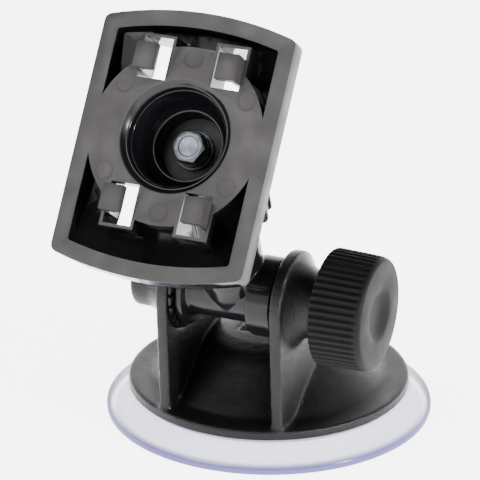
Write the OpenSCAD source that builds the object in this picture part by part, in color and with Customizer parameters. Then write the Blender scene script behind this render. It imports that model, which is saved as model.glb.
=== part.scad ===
// Windscreen holder for a dash camera.
// A clear suction cup carries a round foot with two upright cheeks. An arm tilts
// between the cheeks and ends in a ball joint, and the ball carries a plate whose
// four claws hook into the back of the camera.
//
// Frame: the origin is the centre of the suction face, +Z is up, +X runs along the
// tilt axis towards the clamping knob, and the claw plate faces -Y.

/* [Suction cup] */
// Radius of the cup at its rim
cup_r = 44; // [35:0.5:55]
// Height of the cup's shoulder, where the foot sits
cup_h = 7; // [5:0.1:10]
// Radius of the stiff centre boss that grips the stem
cup_boss_r = 12; // [10:0.5:16]

/* [Foot] */
// Outer radius of the foot's round base
foot_r = 38; // [30:0.5:48]
// Height of the flat rim above the suction face
foot_top = 10; // [8:0.1:14]
// Height of the bell over the suction mechanism
bell_top = 24.6; // [20:0.1:32]
// Inner half distance between the two cheeks
cheek_in = 14.4; // [10:0.1:20]
// Thickness of a cheek
cheek_t = 3.2; // [2:0.1:5]
// Radius of a cheek's rounded top
cheek_r = 13.3; // [10:0.5:18]

/* [Tilt joint] */
// Distance of the tilt axis in front of the foot's centre
tilt_fwd = 22.2; // [10:0.1:28]
// Height of the tilt axis
tilt_z = 42.7; // [34:0.1:60]
// Outer end of the boss behind the knob
boss_knob_end = 25.2; // [20:0.1:32]
// Radius of the boss behind the knob
boss_knob_r = 8.9; // [7:0.1:12]
// Outer end of the boss that holds the nut
boss_nut_end = 27.4; // [22:0.1:34]
// Radius of the boss that holds the nut
boss_nut_r = 8; // [7.5:0.1:12]
// Thread radius of the tilt screw
screw_r = 3; // [2:0.5:4]

/* [Knob] */
// Radius of the knob at its back
knob_r = 15.6; // [12:0.1:20]
// Radius of the knob's flat outer face
knob_face_r = 14.3; // [10:0.1:18]
// Depth of the knob along its axis
knob_len = 14.2; // [10:0.1:20]
// Number of grip ribs
knob_ribs = 50; // [30:1:70]

/* [Arm] */
// Forward lean of the arm, from upright
arm_lean = 21; // [-30:0.05:45]
// Distance from the tilt axis to the ball's centre
arm_len = 44.64; // [34:0.01:60]
// Radius of the end flanges of the arm's barrel
flange_r = 10.7; // [9:0.1:13]
// Radius of the barrel between its flanges
barrel_r = 7.8; // [6:0.1:9]
// Radius of the neck above the barrel
neck_r = 8.55; // [7:0.05:10]

/* [Ball joint] */
// Radius of the ball
ball_r = 8; // [6:0.1:10]
// Outer radius of the locking collar at its lobes
collar_r = 13.2; // [12:0.1:18]
// Number of lobes on the locking collar
collar_lobes = 16; // [8:1:24]
// Length of the locking collar below the ball's centre
collar_drop = 16.9; // [12:0.1:20]
// Distance from the ball's centre to the plate's face
ball_to_face = 28.1; // [27:0.1:40]

/* [Claw plate] */
// Angle of the plate's face above straight ahead
plate_up = 34.74; // [0:0.01:60]
// Half width of the plate
plate_half_w = 25.9; // [22:0.1:32]
// Top of the plate above the centre cup
plate_top = 32.1; // [26:0.1:40]
// Bottom of the plate below the centre cup
plate_bottom = 36.9; // [28:0.1:42]
// Radius of the bowed top and bottom edges
plate_bow_r = 90; // [60:1:200]
// Thickness of the plate at its edge
plate_t = 5.5; // [4:0.1:8]
// Width of the raised frame round the plate
frame_w = 4.1; // [3:0.1:6]
// Radius of the round platform in the middle
platform_r = 23.05; // [20:0.05:26]
// Radius of the centre cup's mouth
cup_mouth_r = 14.8; // [12:0.1:17]
// Sideways spacing of the claws
claw_dx = 22.2; // [18:0.1:26]
// Upright spacing of the claws
claw_dy = 36.9; // [30:0.1:44]
// Height of the claws' front above the face
claw_h = 4.6; // [3:0.1:7]

/* [Suction lever] */
// Height of the lever's pin
pin_z = 17; // [14:0.1:20]
// Lift that the lever gives the stem
lever_lift = 3; // [2:0.1:4]
// Reach of the lever behind its pin
lever_reach = 43; // [34:0.5:50]

/* [Hidden] */
$fn = 96;
eps = 0.01;
tilt_y = -tilt_fwd;
cheek_out = cheek_in + cheek_t;
knob_back = boss_knob_end + 0.8;
knob_face = knob_back + knob_len;
bore_r = screw_r + 0.3;
plate_turn = 90 - plate_up;
ball_y = tilt_y - arm_len * sin(arm_lean);
ball_z = tilt_z + arm_len * cos(arm_lean);
plate_y = ball_y - ball_to_face * cos(plate_up);
plate_z = ball_z + ball_to_face * sin(plate_up);
socket_r = collar_r - 2.9;
shelf_z = pin_z - 6.3;
slot_half = 6;
// Levels inside the plate's centre cup, below the plate's face
head_top = 9.9;
head_h = 3.5;
spring_t = 1.2;
washer_t = 1;
seat_z = head_top + head_h + spring_t + washer_t;
cup_back = seat_z + 2.4;
stub_r = 4.6;
nut_m5_h = 4;
nut_m5_z = 28.6;
// Claw heads and the windows under them
head_w = 5.4;
head_l = 6.7;
head_t = 2.5;
stem_t = 1.3;
window_in = 6.2;
window_out = claw_dx / 2 + head_w / 2;
window_lo = 13.6;
window_hi = 24.3;
collar_wall = 0.8;

plastic = [0.09, 0.09, 0.1];
steel = [0.72, 0.73, 0.75];
clear_pvc = [0.72, 0.74, 0.9, 0.45];
nylon = [0.16, 0.16, 0.17];

// ---------- shared helpers ----------

// Puts its children at the tilt axis, with local Z along +X.
module on_tilt_axis() {
  translate([0, tilt_y, tilt_z])
    rotate([0, 90, 0])
      children();
}

// Puts its children at the tilt axis, with local Z along the arm.
module on_arm() {
  translate([0, tilt_y, tilt_z])
    rotate([arm_lean, 0, 0])
      children();
}

// Puts its children at the ball's centre, with local Z along the arm.
module on_ball() {
  on_arm()
    translate([0, 0, arm_len])
      children();
}

// Puts its children on the plate's face at the centre cup, local Z out of the face.
module on_plate() {
  translate([0, plate_y, plate_z])
    rotate([plate_turn, 0, 0])
      children();
}

module ring(r_out, r_in, z0, z1) {
  translate([0, 0, z0])
    difference() {
      cylinder(r = r_out, h = z1 - z0);
      translate([0, 0, -1])
        cylinder(r = r_in, h = z1 - z0 + 2);
    }
}

// Hexagonal prism of a given width across its flats.
module hex(flats, h) {
  cylinder(r = flats / 2 / cos(30), h = h, $fn = 6);
}

// Hex nut or bolt head with its corners turned to a chamfer at the top.
module hex_body(flats, h) {
  corner = flats / 2 / cos(30);
  intersection() {
    hex(flats, h);
    union() {
      cylinder(r = corner + 1, h = h - 0.6);
      translate([0, 0, h - 0.6 - eps])
        cylinder(r1 = corner + 0.2, r2 = flats / 2 - 0.2, h = 0.6 + eps);
    }
  }
}

// ---------- suction cup and its mechanism ----------

module suction_cup() {
  color(clear_pvc)
    difference() {
      rotate_extrude()
        polygon([
          [0, 3.6], [14, 3.4], [26, 2.6], [36, 1.2], [40.5, 0], [cup_r - 0.6, 0],
          [cup_r, 0.6], [cup_r, 1.9], [cup_r - 0.5, 2.5], [foot_r + 0.8, cup_h - 0.5],
          [foot_r, cup_h], [foot_r - 1.7, cup_h], [foot_r - 2, cup_h - 1.3],
          [cup_boss_r + 1, 5.7], [cup_boss_r, 8.6], [0, 8.6]
        ]);
      translate([0, 0, 5])
        cylinder(r = 9.05, h = 1.75);
      translate([0, 0, 5])
        cylinder(r = 3.85, h = 6);
    }
}

// Pull rod whose foot is moulded into the cup and whose tongue carries the pin.
module stem() {
  color(nylon)
    difference() {
      union() {
        translate([0, 0, 5.05])
          cylinder(r = 9, h = 1.65);
        translate([0, 0, 6])
          cylinder(r = 3.8, h = 4.3);
        translate([-1.9, -3.2, 10])
          cube([3.8, 6.4, pin_z - 10]);
        translate([-1.9, 0, pin_z])
          rotate([0, 90, 0])
            cylinder(r = 3.2, h = 3.8);
      }
      translate([-5, 0, pin_z])
        rotate([0, 90, 0])
          cylinder(r = 1.5, h = 10);
    }
}

module lever_pin() {
  color(steel)
    translate([-5, 0, pin_z])
      rotate([0, 90, 0])
        cylinder(r = 1.5, h = 10);
}

// Outline of a cam lobe: its radius falls as the lever is lifted.
module cam_outline() {
  steps = 18;
  polygon([
    for (i = [0 : steps])
      let (a = 90 * i / steps, r = 5.5 - lever_lift * i / steps)
        [-r * sin(a), -r * cos(a)],
    [-1.6, 2.8],
    [2.4, 3.4],
    [7, 1.4],
    [7, -3.2],
    [3, -5.6]
  ]);
}

// Side view of the handle, behind the lobes.
module handle_outline() {
  polygon([
    [5, 1.6], [5, -2.6], [16, -3.6], [26, -5], [lever_reach - 3, -6.2],
    [lever_reach, -5.4], [lever_reach + 0.4, -3.6], [lever_reach - 4, -3.2],
    [26, -1.6], [16, 0.4]
  ]);
}

module lever_side(x0, x1) {
  translate([x0, 0, pin_z])
    rotate([90, 0, 90])
      linear_extrude(x1 - x0)
        children();
}

module cam_lever() {
  color(plastic)
    difference() {
      union() {
        lever_side(2.3, 5.4)
          cam_outline();
        lever_side(-5.4, -2.3)
          cam_outline();
        lever_side(-5.4, 5.4)
          handle_outline();
        // Finger pad, wider than the slot, beyond the bell
        intersection() {
          lever_side(-8.5, 8.5)
            handle_outline();
          translate([0, lever_reach - 3.5, 0])
            cylinder(r = 8.5, h = 40);
        }
      }
      translate([-5, 0, pin_z])
        rotate([0, 90, 0])
          cylinder(r = 1.55, h = 10);
    }
}

// Thin steel plate that the cam lobes bear on.
module wear_plate() {
  color(steel)
    difference() {
      translate([-5.8, -5.8, shelf_z - 0.6])
        cube([11.6, 11.6, 0.6]);
      translate([0, 0, shelf_z - 2])
        cylinder(r = 4.2, h = 4);
    }
}

// ---------- foot ----------

// Side view of a cheek: upright front edge, round top, sloping back edge.
module cheek_outline() {
  translate([tilt_y, tilt_z])
    circle(r = cheek_r);
  polygon([
    [tilt_y - cheek_r + 2.1, foot_top - 1],
    [tilt_y - cheek_r, tilt_z],
    [tilt_y, tilt_z + cheek_r / 2],
    [tilt_y + cheek_r, tilt_z],
    [2, 20],
    [8, foot_top - 1]
  ]);
}

module cheek(x0) {
  translate([x0, 0, 0])
    rotate([90, 0, 90])
      linear_extrude(cheek_t)
        cheek_outline();
}

// Horn that flares in from a cheek's round top to a boss.
module horn(end, boss_r) {
  flare = 5.5;
  base_r = cheek_r - 0.8;
  rotate_extrude()
    polygon(concat(
      [[0, cheek_in + 0.5], [base_r, cheek_in + 0.5]],
      [for (t = [0 : 0.1 : 1])
        [boss_r + (base_r - boss_r) * pow(1 - t, 2.2), cheek_out + flare * t]],
      [[boss_r, end - 0.5], [boss_r - 0.5, end], [0, end]]
    ));
}

module foot_solid() {
  // Round base with its flat rim, and the bell inside it
  rotate_extrude()
    polygon([
      [0, 6], [foot_r - 2.7, 6], [foot_r - 2.1, cup_h + 0.05], [foot_r - 0.3, cup_h + 0.05],
      [foot_r, cup_h + 0.35], [foot_r, foot_top - 0.4], [foot_r - 0.4, foot_top],
      [31.9, foot_top], [31.4, 10.3], [25, 15.6], [22.4, 18], [19.6, 20.6],
      [16.6, 22.6], [13, 23.9], [9, bell_top], [0, bell_top]
    ]);
  cheek(cheek_in);
  cheek(-cheek_out);
  on_tilt_axis()
    horn(boss_knob_end, boss_knob_r);
  on_tilt_axis()
    rotate([180, 0, 0])
      horn(boss_nut_end, boss_nut_r);
}

module foot_shell() {
  color(plastic)
    difference() {
      foot_solid();
      // Hollow under the bell, round the block that holds the lever
      difference() {
        rotate_extrude()
          polygon([[0, 5], [29, 5], [27.6, 9], [23, 14.4], [18.4, 18.8], [14, 21], [0, 22]]);
        translate([-slot_half - 2, -10, 0])
          cube([2 * slot_half + 4, 45, 40]);
      }
      // Room for the cup's boss
      translate([0, 0, 5])
        cylinder(r = cup_boss_r + 1.2, h = 4.4);
      // Slot for the lever, open at the back
      translate([-slot_half, -7.5, shelf_z])
        cube([2 * slot_half, 60, 30]);
      // Recess for the wear plate
      translate([-5.9, -5.9, shelf_z - 0.62])
        cube([11.8, 11.8, 2]);
      // Hole for the stem
      cylinder(r = 4.2, h = 30);
      // Bore for the tilt screw
      on_tilt_axis()
        translate([0, 0, -40])
          cylinder(r = bore_r, h = 80);
      // Pocket for the nut
      on_tilt_axis()
        translate([0, 0, -boss_nut_end - 1])
          hex(10.1, 6.4);
      // Seat of the toothed ring in the nut side's cheek
      on_tilt_axis()
        translate([0, 0, -cheek_in - 1.2])
          cylinder(r = 12.3, h = 3);
    }
}

// ---------- tilt joint ----------

module tilt_nut() {
  color(steel)
    on_tilt_axis()
      translate([0, 0, -boss_nut_end + 0.4])
        difference() {
          hex_body(10, 5);
          translate([0, 0, -1])
            cylinder(r = screw_r + 0.05, h = 8);
        }
}

// Hex screw moulded into the knob.
module tilt_screw() {
  color(steel)
    on_tilt_axis() {
      translate([0, 0, -boss_nut_end + 1.4])
        cylinder(r = screw_r, h = boss_nut_end + knob_back + 4);
      translate([0, 0, knob_back + 4.6])
        hex(10, 4);
    }
}

module knob() {
  rib_end = knob_back + knob_len - 2;
  color(plastic)
    on_tilt_axis()
      difference() {
        rotate_extrude()
          polygon([
            [0, knob_back + 0.2], [6.5, knob_back + 0.2], [6.5, knob_back + 1.6],
            [10.5, knob_back + 1.6], [10.5, knob_back + 0.3], [knob_r - 0.5, knob_back],
            [knob_r, knob_back + 0.5], [knob_r - 0.6, rib_end], [knob_face_r + 0.35, knob_face - 0.7],
            [knob_face_r, knob_face - 0.2], [knob_face_r - 0.5, knob_face], [7.4, knob_face],
            [6.6, knob_face - 0.35], [5.2, knob_face - 1.05], [3.2, knob_face - 1.6],
            [0, knob_face - 1.8]
          ]);
        // Grooves between the grip ribs, slanted with the knob's taper
        for (i = [0 : knob_ribs - 1])
          rotate([0, 0, 360 * i / knob_ribs])
            translate([knob_r + 0.15, 0, knob_back - 1])
              rotate([0, -3, 0])
                cylinder(r = 0.72, h = knob_len - 0.8, $fn = 8);
        translate([0, 0, knob_back - 5])
          cylinder(r = screw_r, h = 10);
        translate([0, 0, knob_back + 4.6])
          hex(10, 4);
      }
}

module knob_washer() {
  color(steel)
    on_tilt_axis()
      ring(7, bore_r, boss_knob_end + 0.05, boss_knob_end + 0.6);
}

// Toothed ring keyed into the nut side's cheek.
module detent_ring() {
  teeth = 24;
  color(plastic)
    on_tilt_axis()
      difference() {
        ring(12.2, 5, -cheek_in - 1.18, -cheek_in + 0.75);
        for (i = [0 : teeth - 1])
          rotate([0, 0, 360 * i / teeth])
            translate([10, 0, -cheek_in + 0.8])
              rotate([0, 0, 45])
                translate([-0.6, -0.6, -0.8])
                  rotate([0, 0, -45])
                    translate([-1.4, -0.55, 0])
                      cube([5, 1.1, 2]);
      }
}

module friction_washer() {
  color(nylon)
    on_tilt_axis()
      ring(10, bore_r, cheek_in - 0.75, cheek_in - 0.05);
}

module arm() {
  end = cheek_in - 1.1;
  color(plastic)
    difference() {
      union() {
        on_tilt_axis() {
          translate([0, 0, -end])
            cylinder(r = barrel_r, h = 2 * end);
          translate([0, 0, -end])
            cylinder(r = flange_r, h = 1.9);
          translate([0, 0, 6.5])
            cylinder(r = flange_r, h = end - 6.5);
        }
        // Neck and socket, turned about the arm's axis
        on_arm()
          rotate_extrude()
            polygon([
              [0, 0], [barrel_r, 0], [neck_r - 0.3, 3], [neck_r, 7], [neck_r, 21],
              [neck_r + 0.3, 24.5], [neck_r + 0.9, 26.6], [socket_r - 0.4, 28], [socket_r, 28.6],
              [socket_r, arm_len], [0, arm_len]
            ]);
      }
      on_tilt_axis()
        translate([0, 0, -20])
          cylinder(r = bore_r, h = 40);
      // Round seat for the ball, with a relief under it
      on_ball()
        sphere(r = ball_r + 0.1);
      on_ball()
        translate([0, 0, -ball_r - 1.5])
          cylinder(r = 5.2, h = 4);
      // Groove for the seat ring
      on_ball()
        ring(7.4, 3, -6.4, -3.4);
    }
}

// ---------- ball joint ----------

module ball_seat() {
  color(nylon)
    on_ball()
      difference() {
        ring(7.35, 5.3, -6.35, -3.45);
        sphere(r = ball_r + 0.06);
      }
}

// Wedge ring that the collar's inner cone presses onto the ball.
module clamp_ring() {
  color(nylon)
    on_ball()
      difference() {
        rotate_extrude()
          polygon([[6.5, 0.1], [9.8, 0.1], [8.35, 3.1], [6.5, 3.1]]);
        sphere(r = ball_r + 0.06);
      }
}

module lock_collar() {
  color(plastic)
    on_ball()
      difference() {
        rotate_extrude()
          polygon([
            [socket_r + 0.1, -collar_drop + 0.8], [socket_r + 0.9, -collar_drop],
            [collar_r - 0.3, -collar_drop], [collar_r, -collar_drop + 0.4],
            [collar_r, -5], [collar_r - 0.8, -3], [10, 3.8], [ball_r + 1.1, 3.8],
            [ball_r + 0.7, 3.3], [10.2, 0.2], [socket_r + 0.1, 0.05]
          ]);
        for (i = [0 : collar_lobes - 1])
          rotate([0, 0, 360 * (i + 0.5) / collar_lobes])
            translate([collar_r + 1.1, 0, -collar_drop - 1])
              cylinder(r = 2.2, h = 30);
      }
}

module swivel_ball() {
  color(plastic)
    on_plate()
      difference() {
        union() {
          translate([0, 0, -ball_to_face])
            sphere(r = ball_r);
          translate([0, 0, -ball_to_face])
            cylinder(r = 3.6, h = ball_to_face - cup_back - 1);
          translate([0, 0, -cup_back - 1.2])
            cylinder(r = stub_r, h = 1.2);
        }
        translate([0, 0, -ball_to_face - 2])
          cylinder(r = 2.6, h = 30);
        translate([0, 0, -ball_to_face - 10])
          hex(8.1, 10 + ball_to_face - nut_m5_z);
      }
}

module plate_nut() {
  color(steel)
    on_plate()
      translate([0, 0, -nut_m5_z - nut_m5_h - 0.02])
        difference() {
          hex(8, nut_m5_h);
          translate([0, 0, -1])
            cylinder(r = 2.55, h = 8);
        }
}

// ---------- claw plate and its bolt ----------

module plate_bolt() {
  color(steel)
    on_plate() {
      difference() {
        translate([0, 0, -head_top - head_h])
          hex_body(8, head_h);
        translate([0, 0, -head_top - 0.25])
          cylinder(r = 2.6, h = 1);
      }
      translate([0, 0, -head_top - head_h - 20])
        cylinder(r = 2.5, h = 20.5);
    }
}

module spring_washer() {
  color(steel)
    on_plate()
      difference() {
        ring(4.4, 2.55, -head_top - head_h - spring_t + 0.02, -head_top - head_h - 0.02);
        translate([0, -0.4, -20])
          cube([8, 0.8, 20]);
      }
}

module plate_washer() {
  color(steel)
    on_plate()
      ring(5, 2.65, -seat_z + 0.02, -seat_z + washer_t);
}

// Corner points of the plate's outline: bowed top and bottom, rounded corners.
function bow(cy, r, x) = cy + sqrt(r * r - x * x);
function plate_edge(inset, corner, end, dir) =
  let (
    r = plate_bow_r - inset,
    w = plate_half_w - inset,
    cy = end - plate_bow_r,
    fx = w - corner,
    fy = bow(cy, r - corner, fx),
    a0 = atan2(fy - cy, fx),
    steps = 14
  )
  [
    for (i = [0 : 4])
      let (a = a0 * i / 4)
        [dir * (fx + corner * cos(a)), dir * (fy + corner * sin(a))],
    for (i = [1 : steps - 1])
      let (a = a0 + (180 - 2 * a0) * i / steps)
        [dir * r * cos(a), dir * (cy + r * sin(a))],
    for (i = [0 : 4])
      let (a = 180 - a0 + a0 * i / 4)
        [dir * (-fx + corner * cos(a)), dir * (fy + corner * sin(a))]
  ];

module plate_outline(inset, corner) {
  polygon(concat(
    plate_edge(inset, corner, plate_top, 1),
    plate_edge(inset, corner, plate_bottom, -1)
  ));
}

// Radius and depth pairs of the plate's swelling back.
back_curve = [[platform_r, 10.4], [26, 9.9], [29, 8.6], [33, 6.7], [37, 5.7], [46, 5.5]];

// Solid between the face and the swelling back, held a given distance off the back.
module swell(raise) {
  rotate_extrude()
    polygon(concat(
      [[0, 0], [0, -back_curve[0][1] + raise]],
      [for (p = back_curve) [p[0], -p[1] + raise]],
      [[46, 0]]
    ));
}

module claw() {
  // Drawn for the claw at +X +Y of the platform
  translate([window_out - stem_t, claw_dy / 2 - head_l / 2, -6])
    cube([stem_t, head_l, 6 + claw_h - head_t + eps]);
  translate([window_out - head_w, claw_dy / 2 - head_l / 2, claw_h - head_t])
    cube([head_w, head_l, head_t]);
}

module window_collar() {
  translate([window_in - collar_wall, window_lo, -9])
    cube([window_out - window_in + 2 * collar_wall, window_hi - window_lo + collar_wall, 9]);
}

module window_hole() {
  translate([window_in, window_lo, -20])
    cube([window_out - window_in, window_hi - window_lo, 30]);
}

// Repeats its children, drawn for one corner, at the four corners.
module at_corners() {
  for (sx = [0, 1], sy = [0, 1])
    mirror([sx, 0, 0])
      mirror([0, sy, 0])
        children();
}

// Inside and outside of the centre cup.
module cup_inside() {
  rotate_extrude()
    polygon([
      [0, 1], [cup_mouth_r + 0.4, 1], [cup_mouth_r, 0], [13, -1.8], [12.7, -3.4],
      [12, -5.6], [10.9, -7.8], [9.4, -9.6], [8.9, -10.2], [8.6, -seat_z], [0, -seat_z]
    ]);
}

module cup_outside() {
  rotate_extrude()
    polygon([
      [0, -1], [cup_mouth_r + 2, -1], [cup_mouth_r + 1, -3.3], [14.4, -6], [13.2, -9],
      [11.4, -12], [10.6, -16], [9.4, -cup_back], [0, -cup_back]
    ]);
}

module claw_plate() {
  color(plastic)
    on_plate()
      difference() {
        union() {
          // Shell: frame, pockets and hollow platform
          difference() {
            union() {
              translate([0, 0, -plate_t])
                linear_extrude(plate_t)
                  plate_outline(0, 2);
              intersection() {
                translate([0, 0, -12])
                  linear_extrude(12)
                    plate_outline(2.6, 1);
                swell(0);
              }
            }
            // Pockets between the frame and the platform
            difference() {
              intersection() {
                translate([0, 0, -12])
                  linear_extrude(14)
                    plate_outline(frame_w, 0.8);
                translate([0, 0, eps])
                  swell(2);
              }
              translate([0, 0, -20])
                cylinder(r = platform_r, h = 30);
            }
            // Hollow behind the platform
            translate([0, 0, -20])
              cylinder(r = platform_r - 1.8, h = 20 - 3.3);
          }
          cup_outside();
          at_corners()
            window_collar();
        }
        cup_inside();
        at_corners()
          window_hole();
        translate([0, 0, -30])
          cylinder(r = 2.65, h = 30);
      }
  color(plastic)
    on_plate()
      at_corners()
        claw();
}

suction_cup();
stem();
lever_pin();
cam_lever();
wear_plate();
foot_shell();
tilt_nut();
tilt_screw();
knob();
knob_washer();
detent_ring();
friction_washer();
arm();
ball_seat();
clamp_ring();
lock_collar();
swivel_ball();
plate_nut();
plate_bolt();
spring_washer();
plate_washer();
claw_plate();
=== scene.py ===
import math
import bpy
import bmesh
from mathutils import Vector, Matrix


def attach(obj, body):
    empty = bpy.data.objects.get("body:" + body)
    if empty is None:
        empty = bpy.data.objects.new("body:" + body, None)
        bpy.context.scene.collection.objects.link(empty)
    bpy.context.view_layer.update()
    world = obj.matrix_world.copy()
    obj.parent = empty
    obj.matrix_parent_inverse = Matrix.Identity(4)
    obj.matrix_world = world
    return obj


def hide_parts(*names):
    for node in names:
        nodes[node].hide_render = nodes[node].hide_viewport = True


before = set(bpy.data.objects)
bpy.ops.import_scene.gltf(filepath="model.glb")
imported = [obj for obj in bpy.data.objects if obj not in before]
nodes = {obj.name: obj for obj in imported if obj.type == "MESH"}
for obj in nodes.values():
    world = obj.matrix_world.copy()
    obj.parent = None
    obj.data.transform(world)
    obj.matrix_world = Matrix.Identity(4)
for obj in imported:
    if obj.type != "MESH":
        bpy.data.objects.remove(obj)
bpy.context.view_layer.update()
MM = 0.001

# Positions repeated from part.scad, in millimetres
TILT_AXIS = Vector((0.0, -22.2, 42.7))
PLATE_CENTRE = Vector((0.0, -61.289, 100.388))
PLATE_UP_DEG = 34.74
KNOB_BACK = 26.0
KNOB_RIBS = 50

# Studio light: radiance, and the heights on the sky's unit sphere where it fades
BACKDROP_LIGHT = 3.4
CEILING_LIGHT = 0.22
CEILING_EDGE = (0.36, 0.56)
FLOOR_GLOW = 5.0

# Where the looks change over, in millimetres
# Painted shade: deeper than these depths the plate's pockets and cup are coloured near black
SATIN_TO_PAINTED_SHADE_DEPTHS = (0.35, 0.10)      # depths below the plate's face
CUP_FLOOR = (12.0, 9.0)       # depths below the plate's face
PLATE_WALL = (24.2, 24.9)     # distances from the plate's middle line
VINYL_EDGE = (42.4, 43.9)     # radii of the clear cup


# ---------- camera and studio ----------

def look_at(obj, target):
    direction = Vector(target) - obj.location
    obj.rotation_euler = direction.to_track_quat("-Z", "Y").to_euler()


def add_camera():
    azimuth, elevation, distance = math.radians(23.07), math.radians(23.07), 1.0
    target = Vector((0.0, -0.020, 0.0562))
    back = Vector((math.sin(azimuth) * math.cos(elevation),
                   -math.cos(azimuth) * math.cos(elevation),
                   math.sin(elevation)))
    data = bpy.data.cameras.new("view_camera")
    data.sensor_width = 36.0
    data.lens = 286.7
    data.clip_end = 20.0
    cam = bpy.data.objects.new("view_camera", data)
    cam.location = target + back * distance
    bpy.context.scene.collection.objects.link(cam)
    look_at(cam, target)
    bpy.context.scene.camera = cam


def add_area(name, location, target, size_x, size_y, power):
    data = bpy.data.lights.new(name, "AREA")
    data.shape = "RECTANGLE"
    data.size = size_x
    data.size_y = size_y
    data.energy = power
    light = bpy.data.objects.new(name, data)
    light.location = location
    bpy.context.scene.collection.objects.link(light)
    look_at(light, target)


def add_studio():
    world = bpy.data.worlds.new("studio")
    world.use_nodes = True
    tree = world.node_tree
    # Dim ceiling over a bright backdrop: the light falls off with height above the horizon
    coords = tree.nodes.new("ShaderNodeTexCoord")
    split = tree.nodes.new("ShaderNodeSeparateXYZ")
    tree.links.new(coords.outputs["Generated"], split.inputs["Vector"])
    background = tree.nodes["Background"]
    background.inputs["Color"].default_value = (1.0, 1.0, 1.0, 1.0)
    tree.links.new(spread(tree, split.outputs["Z"], BACKDROP_LIGHT, CEILING_LIGHT, *CEILING_EDGE),
                   background.inputs["Strength"])
    bpy.context.scene.world = world
    centre = (0.0, -0.03, 0.06)
    add_area("key_light", (-0.36, -0.70, 0.78), centre, 0.5, 0.5, 10.0)
    add_area("side_light", (0.95, -0.25, 0.30), centre, 0.08, 0.10, 20.0)

    mesh = bpy.data.meshes.new("floor")
    bm = bmesh.new()
    bmesh.ops.create_grid(bm, x_segments=1, y_segments=1, size=6.0)
    bm.to_mesh(mesh)
    bm.free()
    floor = bpy.data.objects.new("floor", mesh)
    bpy.context.scene.collection.objects.link(floor)
    mat, _tree, shader = new_material("floor_white")
    shader.inputs["Base Color"].default_value = (0.95, 0.95, 0.95, 1.0)
    shader.inputs["Roughness"].default_value = 0.9
    shader.inputs["Emission Color"].default_value = (1.0, 1.0, 1.0, 1.0)
    shader.inputs["Emission Strength"].default_value = FLOOR_GLOW
    mesh.materials.append(mat)


# ---------- materials ----------

def new_material(name):
    mat = bpy.data.materials.new(name)
    mat.use_nodes = True
    tree = mat.node_tree
    return mat, tree, tree.nodes["Principled BSDF"]


def noise_at(tree, coords, size_mm, detail):
    node = tree.nodes.new("ShaderNodeTexNoise")
    node.inputs["Scale"].default_value = 1.0 / (size_mm * MM)
    node.inputs["Detail"].default_value = detail
    tree.links.new(coords.outputs["Object"], node.inputs["Vector"])
    return node


def spread(tree, source, low, high, from_low=0.3, from_high=0.7):
    node = tree.nodes.new("ShaderNodeMapRange")
    node.inputs["From Min"].default_value = from_low
    node.inputs["From Max"].default_value = from_high
    node.inputs["To Min"].default_value = low
    node.inputs["To Max"].default_value = high
    tree.links.new(source, node.inputs["Value"])
    return node.outputs["Result"]


def mix_colour(tree, factor, low, high):
    """Blend of two colours; each is an RGB triple or a socket."""
    node = tree.nodes.new("ShaderNodeMix")
    node.data_type = "RGBA"
    tree.links.new(factor, node.inputs["Factor"])
    for socket, colour in (("A", low), ("B", high)):
        if isinstance(colour, bpy.types.NodeSocket):
            tree.links.new(colour, node.inputs[socket])
        else:
            node.inputs[socket].default_value = (*colour, 1.0)
    return node.outputs["Result"]


def calculate(tree, operation, *values):
    node = tree.nodes.new("ShaderNodeMath")
    node.operation = operation
    for value, socket in zip(values, node.inputs):
        tree.links.new(value, socket)
    return node.outputs["Value"]


def bump(tree, height, relief_mm, under=None):
    node = tree.nodes.new("ShaderNodeBump")
    node.inputs["Distance"].default_value = relief_mm * MM
    tree.links.new(height, node.inputs["Height"])
    if under:
        tree.links.new(under, node.inputs["Normal"])
    return node.outputs["Normal"]


def scaled(colour, share):
    return [channel * share for channel in colour]


def plastic(name, colour, roughness, grain_mm, relief_mm, specular, wave=0.08):
    """Moulded plastic: faint mottle in colour and gloss, flow marks and a spark grain."""
    mat, tree, shader = new_material(name)
    coords = tree.nodes.new("ShaderNodeTexCoord")
    mottle = noise_at(tree, coords, 9.0, 5.0)
    grain = noise_at(tree, coords, grain_mm, 1.0)
    flow = noise_at(tree, coords, 14.0, 1.0)
    rough = spread(tree, mottle.outputs["Fac"], roughness - wave, roughness + wave)
    tree.links.new(rough, shader.inputs["Roughness"])
    tint = mix_colour(tree, mottle.outputs["Fac"], scaled(colour, 0.75), scaled(colour, 1.3))
    tree.links.new(tint, shader.inputs["Base Color"])
    shader.inputs["Specular IOR Level"].default_value = specular
    relief = bump(tree, grain.outputs["Fac"], relief_mm)
    tree.links.new(bump(tree, flow.outputs["Fac"], 0.06, relief), shader.inputs["Normal"])
    return mat


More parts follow.
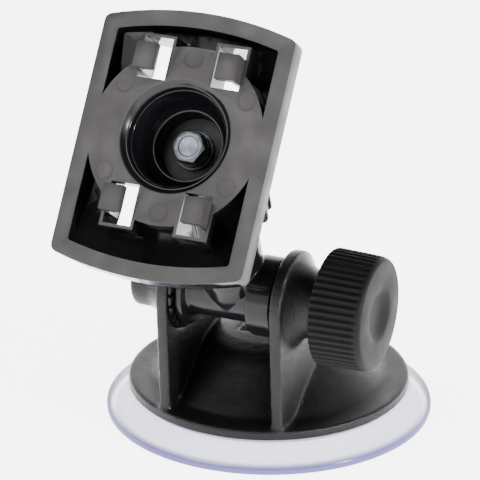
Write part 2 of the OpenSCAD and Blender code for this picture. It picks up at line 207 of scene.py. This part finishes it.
def gloss_and_painted_shade_below_face(mat, face_rough, deep_rough):
    """Glossy in the plate's pockets and cup, where painted shade makes the colour near black;
    satin with the plate's own greyer tint on its face and walls.
    """
    tree = mat.node_tree
    shader = tree.nodes["Principled BSDF"]
    up = math.radians(PLATE_UP_DEG)
    out_of_face = Vector((0.0, -math.cos(up), math.sin(up)))
    face_at = PLATE_CENTRE.dot(out_of_face)
    coords = tree.nodes.new("ShaderNodeTexCoord")
    along = tree.nodes.new("ShaderNodeVectorMath")
    along.operation = "DOT_PRODUCT"
    along.inputs[1].default_value = out_of_face
    tree.links.new(coords.outputs["Object"], along.inputs[0])

    def by_depth(low, high, depths):
        deep, shallow = [(face_at - depth) * MM for depth in depths]
        return spread(tree, along.outputs["Value"], low, high, deep, shallow)

    place = tree.nodes.new("ShaderNodeSeparateXYZ")
    tree.links.new(coords.outputs["Object"], place.inputs["Vector"])
    across = calculate(tree, "ABSOLUTE", place.outputs["X"])
    wall = spread(tree, across, 0.0, 1.0, *[reach * MM for reach in PLATE_WALL])
    # 1 on the satin face and walls, 0 in the glossy pockets and cup that get painted shade
    satin_face_vs_painted_shade = calculate(tree, "MAXIMUM", by_depth(0.0, 1.0, SATIN_TO_PAINTED_SHADE_DEPTHS), wall)

    mottle = noise_at(tree, coords, 7.0, 5.0).outputs["Fac"]
    # The bottom of the centre cup, where the bolt sits, is dull
    deep = calculate(tree, "ADD", by_depth(0.40, 0.0, CUP_FLOOR),
                     spread(tree, mottle, deep_rough - 0.04, deep_rough + 0.05))
    worn = spread(tree, mottle, face_rough - 0.07, face_rough + 0.09)
    pick = tree.nodes.new("ShaderNodeMix")
    tree.links.new(satin_face_vs_painted_shade, pick.inputs["Factor"])
    tree.links.new(deep, pick.inputs["A"])
    tree.links.new(worn, pick.inputs["B"])
    tree.links.new(pick.outputs["Result"], shader.inputs["Roughness"])

    face_tint = shader.inputs["Base Color"].links[0].from_socket
    # Painted shade: the pockets and cup are coloured near black in place of the plate's own tint,
    # which stays on the face and walls
    shade = mix_colour(tree, satin_face_vs_painted_shade, (0.0022, 0.0022, 0.0028), face_tint)
    tree.links.new(shade, shader.inputs["Base Color"])


def metal(name, colour, roughness):
    """Plated steel: cloudy in colour and gloss, with fine pits."""
    mat, tree, shader = new_material(name)
    coords = tree.nodes.new("ShaderNodeTexCoord")
    cloud = noise_at(tree, coords, 2.2, 6.0).outputs["Fac"]
    pits = noise_at(tree, coords, 0.5, 3.0).outputs["Fac"]
    tree.links.new(spread(tree, cloud, roughness - 0.1, roughness + 0.14),
                   shader.inputs["Roughness"])
    tree.links.new(mix_colour(tree, cloud, scaled(colour, 0.7), colour),
                   shader.inputs["Base Color"])
    shader.inputs["Metallic"].default_value = 1.0
    tree.links.new(bump(tree, pits, 0.05), shader.inputs["Normal"])
    return mat


def clear_vinyl(name):
    """Soft clear vinyl: mostly see-through, milky on top, violet in the thick edge."""
    mat, tree, shader = new_material(name)
    coords = tree.nodes.new("ShaderNodeTexCoord")
    flat = tree.nodes.new("ShaderNodeVectorMath")
    flat.operation = "MULTIPLY"
    flat.inputs[1].default_value = (1.0, 1.0, 0.0)
    tree.links.new(coords.outputs["Object"], flat.inputs[0])
    reach = tree.nodes.new("ShaderNodeVectorMath")
    reach.operation = "LENGTH"
    tree.links.new(flat.outputs["Vector"], reach.inputs[0])
    edge = spread(tree, reach.outputs["Value"], 0.0, 1.0, *[r * MM for r in VINYL_EDGE])
    cloud = noise_at(tree, coords, 16.0, 3.0).outputs["Fac"]
    tree.links.new(mix_colour(tree, edge, (0.62, 0.62, 0.70), (0.09, 0.08, 0.22)),
                   shader.inputs["Base Color"])
    tree.links.new(spread(tree, cloud, 0.10, 0.22), shader.inputs["Roughness"])
    tree.links.new(bump(tree, cloud, 0.15), shader.inputs["Normal"])
    see = tree.nodes.new("ShaderNodeBsdfTransparent")
    tree.links.new(mix_colour(tree, edge, (0.70, 0.70, 0.76), (0.05, 0.045, 0.14)),
                   see.inputs["Color"])
    blend = tree.nodes.new("ShaderNodeMixShader")
    tree.links.new(spread(tree, edge, 0.30, 0.55, 0.0, 1.0), blend.inputs["Fac"])
    tree.links.new(see.outputs["BSDF"], blend.inputs[1])
    tree.links.new(shader.outputs["BSDF"], blend.inputs[2])
    tree.links.new(blend.outputs["Shader"], tree.nodes["Material Output"].inputs["Surface"])
    return mat


# ---------- building pieces ----------

def add_piece(name, mesh, mat, body, *stands_for):
    obj = bpy.data.objects.new(name, mesh)
    bpy.context.scene.collection.objects.link(obj)
    mesh.materials.clear()
    mesh.materials.append(mat)
    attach(obj, body)
    if stands_for:
        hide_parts(*stands_for)
    return obj


def smooth_by_angle(mesh, degrees):
    for face in mesh.polygons:
        face.use_smooth = True
    mesh.set_sharp_from_angle(angle=math.radians(degrees))


def baked(source_mesh, modify):
    """Mesh with modifiers applied to it."""
    obj = bpy.data.objects.new("working", source_mesh)
    bpy.context.scene.collection.objects.link(obj)
    modify(obj)
    graph = bpy.context.evaluated_depsgraph_get()
    mesh = bpy.data.meshes.new_from_object(obj.evaluated_get(graph))
    bpy.data.objects.remove(obj)
    return mesh


def copy_of(node):
    """Copy of a node's mesh in the shared frame, with its split corners joined again."""
    source = nodes[node]
    bm = bmesh.new()
    bm.from_mesh(source.data)
    bm.transform(source.matrix_world)
    bmesh.ops.remove_doubles(bm, verts=bm.verts, dist=0.002 * MM)
    bmesh.ops.recalc_face_normals(bm, faces=bm.faces)
    mesh = bpy.data.meshes.new(node + "_copy")
    bm.to_mesh(mesh)
    bm.free()
    return mesh


def rounded(node, name, mat, body, voxel_mm, passes):
    """Moulded look: every edge and inside corner of the node's shape is rounded over."""
    def modify(obj):
        remesh = obj.modifiers.new("remesh", "REMESH")
        remesh.mode = "VOXEL"
        remesh.voxel_size = voxel_mm * MM
        soften = obj.modifiers.new("soften", "SMOOTH")
        soften.factor = 0.5
        soften.iterations = passes
    mesh = baked(copy_of(node), modify)
    for face in mesh.polygons:
        face.use_smooth = True
    return add_piece(name, mesh, mat, body, node)


def bevelled(node, name, mat, body, width_mm, degrees=32):
    """Crisp look: flat faces are merged and the hard edges get a small round."""
    mesh = copy_of(node)
    bm = bmesh.new()
    bm.from_mesh(mesh)
    bmesh.ops.dissolve_limit(bm, angle_limit=math.radians(0.6), verts=bm.verts, edges=bm.edges)
    bm.to_mesh(mesh)
    bm.free()

    def modify(obj):
        bevel = obj.modifiers.new("bevel", "BEVEL")
        bevel.width = width_mm * MM
        bevel.segments = 2
        bevel.limit_method = "ANGLE"
        bevel.angle_limit = math.radians(degrees)
        bevel.use_clamp_overlap = True
        bevel.harden_normals = False
    mesh = baked(mesh, modify)
    smooth_by_angle(mesh, 28)
    return add_piece(name, mesh, mat, body, node)


def revolved(profile, steps, place, groove=None):
    """Closed surface turned from (radius, height) pairs in mm; groove(angle, i) cuts into it."""
    bm = bmesh.new()
    rings = []
    for i, (radius, height) in enumerate(profile):
        if radius == 0:
            rings.append([bm.verts.new((0.0, 0.0, height))])
            continue
        ring = []
        for k in range(steps):
            angle = 2.0 * math.pi * k / steps
            r = radius - (groove(k, i) if groove else 0.0)
            ring.append(bm.verts.new((r * math.cos(angle), r * math.sin(angle), height)))
        rings.append(ring)
    for low, high in zip(rings, rings[1:]):
        for k in range(steps):
            a, b = low[k % len(low)], low[(k + 1) % len(low)]
            c, d = high[(k + 1) % len(high)], high[k % len(high)]
            corners = [a, b, c, d]
            unique = [v for n, v in enumerate(corners) if v not in corners[:n]]
            if len(unique) > 2:
                bm.faces.new(unique)
    bmesh.ops.recalc_face_normals(bm, faces=bm.faces)
    bm.transform(Matrix.Scale(MM, 4) @ place)
    mesh = bpy.data.meshes.new("revolved")
    bm.to_mesh(mesh)
    bm.free()
    return mesh


ON_TILT = Matrix.Translation(TILT_AXIS) @ Matrix.Rotation(math.radians(90), 4, "Y")
ON_PLATE = Matrix.Translation(PLATE_CENTRE) @ Matrix.Rotation(
    math.radians(90 - PLATE_UP_DEG), 4, "X")


def make_knob(mat):
    back, face = KNOB_BACK, KNOB_BACK + 14.2
    # (height, radius, depth of the grooves there)
    stations = [
        (back + 4.5, 0, 0), (back + 4.5, 3.05, 0), (back + 0.25, 3.05, 0),
        (back + 0.2, 6.3, 0), (back + 0.35, 6.5, 0), (back + 1.5, 6.5, 0),
        (back + 1.6, 6.7, 0), (back + 1.6, 10.3, 0), (back + 1.5, 10.5, 0),
        (back + 0.4, 10.5, 0), (back + 0.25, 10.8, 0), (back + 0.02, 14.6, 0),
        (back + 0.10, 15.1, 0.1), (back + 0.35, 15.42, 0.42), (back + 0.8, 15.56, 0.62),
        (back + 2.0, 15.54, 0.68), (back + 6.0, 15.40, 0.68), (back + 10.0, 15.26, 0.68),
        (back + 11.4, 15.20, 0.66), (back + 12.0, 15.16, 0.55), (back + 12.4, 15.10, 0.36),
        (back + 12.8, 15.00, 0.16), (back + 13.1, 14.92, 0.03), (back + 13.5, 14.76, 0),
        (back + 13.85, 14.5, 0), (back + 14.08, 14.15, 0), (face, 13.7, 0),
        (face, 10.0, 0), (face, 8.2, 0), (face - 0.05, 7.6, 0), (face - 0.22, 7.05, 0),
        (face - 0.6, 6.2, 0), (face - 1.05, 5.2, 0), (face - 1.45, 4.0, 0),
        (face - 1.68, 2.7, 0), (face - 1.78, 1.3, 0), (face - 1.8, 0, 0),
    ]
    across = (0.0, 0.0, 0.05, 0.35, 0.8, 1.0, 1.0, 0.8, 0.35, 0.05)
    mesh = revolved([(r, h) for h, r, _ in stations], KNOB_RIBS * len(across), ON_TILT,
                    lambda k, i: stations[i][2] * across[k % len(across)])
    smooth_by_angle(mesh, 50)
    return add_piece("knob_moulding", mesh, mat, "knob", "knob")


def make_cup(mat):
    profile = [
        (0, 3.6), (6, 3.57), (14, 3.4), (20, 3.05), (26, 2.55), (31, 2.0), (36, 1.2), (39, 0.5),
        (40.5, 0.08), (41.5, 0), (43.0, 0), (43.5, 0.1), (43.85, 0.35), (43.98, 0.7),
        (43.98, 1.6), (43.85, 2.05), (43.5, 2.4), (42.9, 2.7), (41.8, 3.4), (40.4, 4.6),
        (39.2, 5.9), (38.4, 6.8), (37.9, 6.98), (36.5, 7.0), (36.3, 6.9), (36.0, 5.8),
        (35.6, 5.7), (24, 5.7), (13.2, 5.7), (12.8, 6.1), (12.0, 8.3), (11.7, 8.6),
        (4.1, 8.6), (3.85, 8.4), (3.85, 6.8), (4.0, 6.75), (9.0, 6.75), (9.05, 6.6),
        (9.05, 5.1), (8.9, 5.0), (0, 5.0),
    ]
    mesh = revolved(profile, 192, Matrix.Identity(4))
    smooth_by_angle(mesh, 40)
    return add_piece("clear_cup", mesh, mat, "foot", "suction_cup")


def make_marks(mat):
    """Ejector marks: faint round pads left on the plate's face by the mould."""
    spots = [(0.2, 20.0, 2.6), (-16.4, 11.4, 2.6), (16.6, 11.3, 2.6), (-16.4, -11.4, 2.6),
             (0.4, -19.8, 2.6), (16.6, -11.0, 2.6)]
    pad = [(0, -0.3), (1, -0.3), (1, -0.02), (0.985, 0.035), (0.95, 0.05), (0.9, 0.03),
           (0.86, 0.0), (0.5, 0.0), (0, 0.0)]
    bm = bmesh.new()
    for x, y, radius in spots:
        part = revolved([(r * radius, h) for r, h in pad], 40,
                        ON_PLATE @ Matrix.Translation((x, y, 0.012)))
        bm.from_mesh(part)
        bpy.data.meshes.remove(part)
    mesh = bpy.data.meshes.new("ejector_marks")
    bm.to_mesh(mesh)
    bm.free()
    smooth_by_angle(mesh, 40)
    return add_piece("ejector_marks", mesh, mat, "plate")


def make_ridges(mat):
    """Fine steps that ring the centre cup, half sunk in its wall."""
    bm = bmesh.new()
    for radius, depth, size in ((13.35, 1.7, 0.42), (12.75, 3.5, 0.30), (9.15, 10.0, 0.40)):
        turns = [2.0 * math.pi * k / 14 for k in range(14)] + [0.0]
        loop = [(radius + size * math.cos(a), size * math.sin(a) - depth) for a in turns]
        part = revolved(loop, 144, ON_PLATE)
        bm.from_mesh(part)
        bpy.data.meshes.remove(part)
    bmesh.ops.remove_doubles(bm, verts=bm.verts, dist=0.002 * MM)
    bmesh.ops.recalc_face_normals(bm, faces=bm.faces)
    mesh = bpy.data.meshes.new("cup_ridges")
    bm.to_mesh(mesh)
    bm.free()
    smooth_by_angle(mesh, 60)
    return add_piece("cup_ridges", mesh, mat, "plate")


add_camera()
add_studio()

foot_plastic = plastic("foot_plastic", (0.003, 0.003, 0.0035), 0.22, 0.32, 0.20, 0.14, 0.05)
gloss_plastic = plastic("gloss_plastic", (0.003, 0.003, 0.0035), 0.18, 0.30, 0.006, 0.16)
knob_plastic = plastic("knob_plastic", (0.006, 0.006, 0.0065), 0.50, 0.30, 0.05, 0.035)
plate_plastic = plastic("plate_plastic", (0.018, 0.0165, 0.016), 0.26, 0.30, 0.006, 0.20)
gloss_and_painted_shade_below_face(plate_plastic, 0.42, 0.14)
nylon_plastic = plastic("nylon_plastic", (0.02, 0.02, 0.021), 0.45, 0.3, 0.02, 0.3)
zinc = metal("zinc_plate", (0.10, 0.11, 0.125), 0.42)
dark_steel = metal("dark_steel", (0.03, 0.03, 0.033), 0.42)
vinyl = clear_vinyl("clear_vinyl")

rounded("foot_shell", "foot_moulding", foot_plastic, "foot", 0.38, 22)
rounded("arm", "arm_moulding", gloss_plastic, "arm", 0.35, 5)
rounded("lock_collar", "collar_moulding", gloss_plastic, "collar", 0.30, 4)
bevelled("claw_plate", "plate_moulding", plate_plastic, "plate", 0.3)
bevelled("cam_lever", "lever_moulding", gloss_plastic, "lever", 0.5)
bevelled("plate_bolt", "plate_screw", zinc, "plate", 0.15)
make_knob(knob_plastic)
make_cup(vinyl)
make_marks(plate_plastic)
make_ridges(plate_plastic)

looks = (
    (gloss_plastic, ("swivel_ball", "detent_ring")),
    (nylon_plastic, ("stem", "friction_washer", "ball_seat", "clamp_ring")),
    (zinc, ("lever_pin", "wear_plate", "tilt_nut", "tilt_screw", "knob_washer", "plate_nut")),
    (dark_steel, ("spring_washer", "plate_washer")),
)
for look, names in looks:
    for node in names:
        slots = nodes[node].data.materials
        slots.clear()
        slots.append(look)
